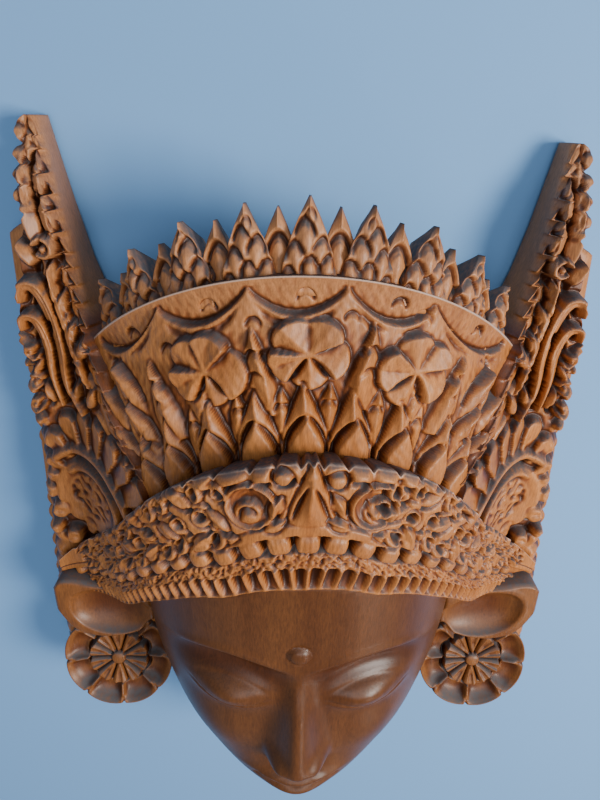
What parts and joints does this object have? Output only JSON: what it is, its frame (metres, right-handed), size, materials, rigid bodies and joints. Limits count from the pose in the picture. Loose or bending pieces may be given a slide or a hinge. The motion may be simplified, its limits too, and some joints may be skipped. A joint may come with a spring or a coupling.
{
  "type": "carved wall mask",
  "caption": "Carved wooden wall mask: calm face under a headband, tiara and spiked crown, with side wings and a hollowed flat back.",
  "frame": {"origin": "middle of the bounding box on the flat back that the mask lies on", "axes": "+X across the face to the viewer's right, +Y from the chin to the wing tips, +Z out of the face"},
  "size_m": [0.196, 0.242, 0.0772],
  "materials": {
    "carved_wood": "hand-carved and polished to a satin sheen, dark in the cuts, dust on the upward ledges"
  },
  "bodies": {
    "root": {"mask": "carved_wood"}
  },
  "joints": []
}
